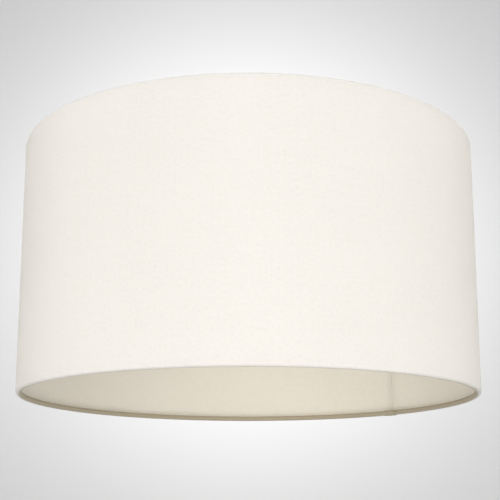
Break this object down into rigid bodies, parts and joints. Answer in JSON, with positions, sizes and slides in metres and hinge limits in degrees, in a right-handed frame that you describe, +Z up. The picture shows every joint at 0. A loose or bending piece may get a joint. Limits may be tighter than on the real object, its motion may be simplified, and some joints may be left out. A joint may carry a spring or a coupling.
{
  "type": "drum lamp shade",
  "caption": "Cylindrical fabric lamp shade with rolled hems, a stiff liner and a dropped spider ring for a lamp holder.",
  "frame": {"origin": "on the drum's axis, level with the lowest point of the bottom edge", "axes": "+Z up along the drum's axis, with one spoke towards +Y and the seam between +X and +Y"},
  "size_m": [0.4, 0.4, 0.22],
  "materials": {
    "cloth": "fine plain weave, matte",
    "liner": "satin white film",
    "tape": "clear tape",
    "wire": "white powder coat",
    "fitter": "white powder coat",
    "reducer": "moulded white plastic"
  },
  "bodies": {
    "shade": {"fabric_cover": "cloth", "liner_panel": "liner", "seam_tape": "tape", "bottom_ring": "wire", "top_ring": "wire", "spoke_back": "wire", "spoke_left": "wire", "spoke_right": "wire", "fitter_ring": "fitter"},
    "reducer": {"reducer_ring": "reducer"}
  },
  "joints": [
    {"name": "reducer_lift", "type": "slide", "parent": "shade", "child": "reducer", "axis": [0, 0, 1], "range_m": [0, 0.04]}
  ]
}
